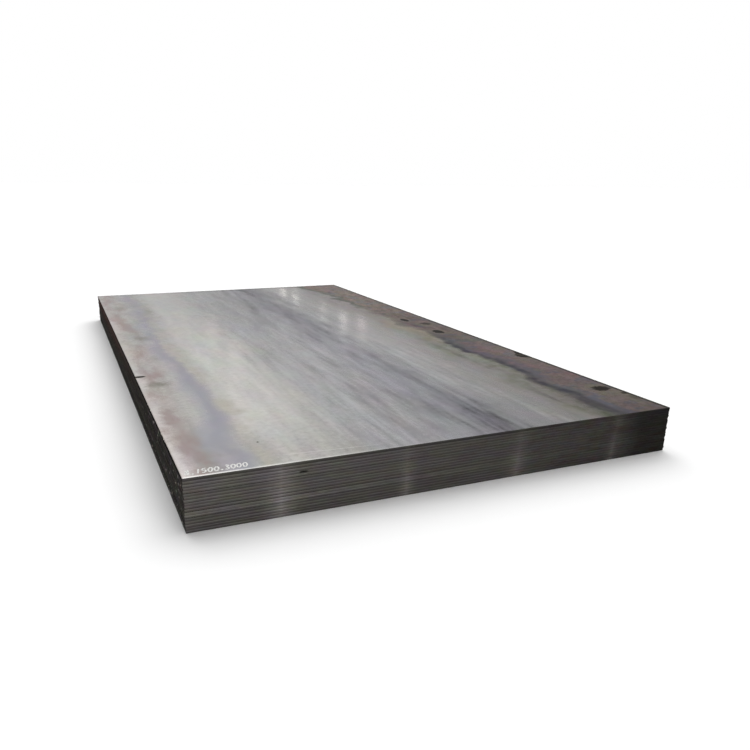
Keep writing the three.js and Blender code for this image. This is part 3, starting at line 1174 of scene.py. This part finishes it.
# Narrow lamps beyond the far end, which only show as soft columns in the top face:
# (bearing, height, width, tallness, brightness, colour), seen from the middle of the stack.
COLUMN_LAMPS = [
    (16.31, 8.12, 0.20, 0.45, 4.4, (1.0, 0.97, 0.90)),
    (16.31, 8.60, 0.24, 0.60, 0.8, (1.0, 0.97, 0.90)),
    (17.39, 7.90, 0.22, 0.50, 3.6, (1.0, 0.97, 0.92)),
    (17.39, 9.00, 0.28, 0.90, 0.4, (1.0, 0.97, 0.92)),
    (19.79, 8.60, 0.26, 0.40, 1.3, (1.0, 0.97, 0.92)),
    (19.79, 9.30, 0.30, 0.80, 0.5, (1.0, 0.97, 0.92)),
    (21.60, 9.65, 0.28, 0.45, 2.9, (1.0, 0.96, 0.94)),
    (21.55, 11.10, 0.32, 1.20, 0.3, (1.0, 0.94, 0.91)),
    (23.26, 9.38, 0.34, 0.40, 4.2, (1.0, 0.86, 0.84)),
    (23.26, 10.90, 0.36, 1.00, 0.12, (1.0, 0.88, 0.86)),
    (10.04, 10.87, 0.50, 1.20, 0.32, (1.0, 0.92, 0.90)),
    (11.85, 13.13, 0.70, 1.50, 0.34, (1.0, 0.90, 0.85)),
]
LAMP_DISTANCE = 30.0
# The floor lies a hair below the lowest plate, and runs past everything that the camera sees.
FLOOR_DROP = 0.0002
FLOOR_REACH = 150


def direction(bearing, height):
    """A unit vector at a bearing and a height, given in radians."""
    level = math.cos(height)
    return Vector((math.sin(bearing) * level, math.cos(bearing) * level, math.sin(height)))


def seen_by_camera(tree):
    """1 where the camera sees a surface straight, and 0 where another surface does."""
    return Field(add_node(tree, "ShaderNodeLightPath").outputs["Is Camera Ray"])


def light_room(scene, studio):
    """White as the camera sees it, and graded by soft cards as the steel and the floor see it."""
    world = bpy.data.worlds.new("studio_room")
    world.use_nodes = True
    scene.world = world
    tree = world.node_tree
    aim = Field(add_node(tree, "ShaderNodeTexCoord").outputs["Generated"])
    up = parts_of(aim)[2]
    room = ease(up, 0.1, 0.9, studio.sky, studio.sky * 1.5)
    # Every card is a fifth duller low down, near the floor.
    fading = ease(up, 0.10, 0.20, 0.80, 1.0)
    for bearing, height, spread, strength in SOFT_CARDS:
        towards = direction(math.radians(bearing), math.radians(height))
        facing = maths("DOT_PRODUCT", aim, towards, output=1)
        room += maths("MAXIMUM", facing, 0.0) ** spread * fading * strength
    level = seen_by_camera(tree) * (1.0 - room) + room
    put_all(tree.nodes["Background"], {"Color": (1, 1, 1), "Strength": level})


def lay_floor(scene, studio):
    """A level floor, pale to the camera and duller to the steel, so that the edges stay dark."""
    material = bpy.data.materials.new("studio_floor")
    material.use_nodes = True
    tree = material.node_tree
    tree.nodes.remove(tree.nodes["Principled BSDF"])
    x, y, _ = parts_of(Field(add_node(tree, "ShaderNodeTexCoord").outputs["Object"]))
    # A pool of light, painted on the floor as the steel sees it, lies before the left half of the front end
    # and lights the painted highlight streaks there from below.
    pool = ease(x, RIGHT_EDGE * 1.8, LEFT_EDGE * 1.6) * ease(y, FRONT_EDGE + 0.02, FRONT_EDGE - 0.04)
    seen_by_steel = remap(pool, studio.floor_bounce, studio.pool)
    lightness = seen_by_camera(tree) * (studio.floor - seen_by_steel) + seen_by_steel
    matt = new_field("ShaderNodeBsdfDiffuse", {"Color": lightness})
    put(tree.nodes["Material Output"].inputs["Surface"], matt)
    bm = bmesh.new()
    bmesh.ops.create_grid(bm, x_segments=1, y_segments=1, size=FLOOR_REACH)
    mesh = bpy.data.meshes.new("studio_floor")
    bm.to_mesh(mesh)
    bm.free()
    mesh.materials.append(material)
    floor = bpy.data.objects.new("studio_floor", mesh)
    floor.location.z = -FLOOR_DROP
    scene.collection.objects.link(floor)


def hang_lamp(scene, name, light, bearing, height):
    """A lamp object that shines back at the stack from a bearing and a height in degrees."""
    lamp = bpy.data.objects.new(name, light)
    towards = direction(math.radians(bearing), math.radians(height))
    lamp.location = towards * LAMP_DISTANCE + Vector((0, 0, STACK_TOP))
    lamp.rotation_euler = towards.to_track_quat("Z", "Y").to_euler()
    scene.collection.objects.link(lamp)
    return lamp


def hang_suns(scene, studio):
    """The key light and the low light."""
    for name, bearing, height, spread, part in SUNS:
        light = bpy.data.lights.new(name, "SUN")
        light.energy = studio.key * part
        light.angle = math.radians(spread)
        hang_lamp(scene, name, light, bearing, height).visible_glossy = False


def hang_column_lamps(scene):
    """The narrow lamps beyond the far end."""
    for bearing, height, width, tallness, brightness, tint in COLUMN_LAMPS:
        light = bpy.data.lights.new("column_lamp", "AREA")
        light.shape = "RECTANGLE"
        light.size, light.size_y = width, tallness
        light.energy = brightness * math.pi * width * tallness
        light.color = tint
        lamp = hang_lamp(scene, "column_lamp", light, bearing, height)
        lamp.visible_camera = False
        lamp.visible_diffuse = False


def set_up_camera(scene, studio):
    """The camera, with its place, its aim and its lens."""
    data = bpy.data.cameras.new("studio_camera")
    data.sensor_width = 36
    data.lens = studio.lens
    data.shift_y = studio.rise
    data.clip_end = 500
    camera = bpy.data.objects.new("studio_camera", data)
    camera.location = studio.camera_place
    aim = direction(studio.bearing, -studio.pitch)
    turn = aim.to_track_quat("-Z", "Y").to_matrix().to_4x4() @ Matrix.Rotation(studio.roll, 4, "Z")
    camera.rotation_euler = turn.to_euler()
    scene.collection.objects.link(camera)
    scene.camera = camera


class STEEL_OT_studio(bpy.types.Operator):
    """Set up the floor, the lights and the camera"""

    bl_idname = "steel.studio"
    bl_label = "Set Up Studio"

    def execute(self, context):
        scene, studio = context.scene, context.scene.steel_studio
        scene.view_settings.view_transform = "Standard"
        set_up_camera(scene, studio)
        light_room(scene, studio)
        lay_floor(scene, studio)
        hang_suns(scene, studio)
        hang_column_lamps(scene)
        return {"FINISHED"}


class STEEL_PT_stack(bpy.types.Panel):
    """Sizes, finishes and tools of the plate stack"""

    bl_label = "Steel Plate Stack"
    bl_space_type = "VIEW_3D"
    bl_region_type = "UI"
    bl_category = "Steel"

    def draw(self, context):
        for operator in OPERATORS:
            self.layout.operator(operator.bl_idname)
        for name in SETTINGS:
            box = self.layout.box()
            group = getattr(context.scene, name)
            for prop in group.bl_rna.properties:
                if prop.identifier not in {"rna_type", "name"}:
                    box.prop(group, prop.identifier)


SETTINGS = {
    "steel_plates": PlateSizes,
    "steel_finish": SteelFinish,
    "steel_mark": SizeMark,
    "steel_studio": Studio,
}
OPERATORS = (STEEL_OT_plates, STEEL_OT_size_mark, STEEL_OT_studio)
CLASSES = (*SETTINGS.values(), *OPERATORS, STEEL_PT_stack)


def register():
    for cls in CLASSES:
        bpy.utils.register_class(cls)
    for name, group in SETTINGS.items():
        setattr(bpy.types.Scene, name, bpy.props.PointerProperty(type=group))


def unregister():
    for name in SETTINGS:
        delattr(bpy.types.Scene, name)
    for cls in reversed(CLASSES):
        bpy.utils.unregister_class(cls)


def main():
    """Builds everything."""
    register()
    bpy.ops.steel.plates()
    bpy.ops.steel.size_mark()
    bpy.ops.steel.studio()


if __name__ == "__main__":
    main()
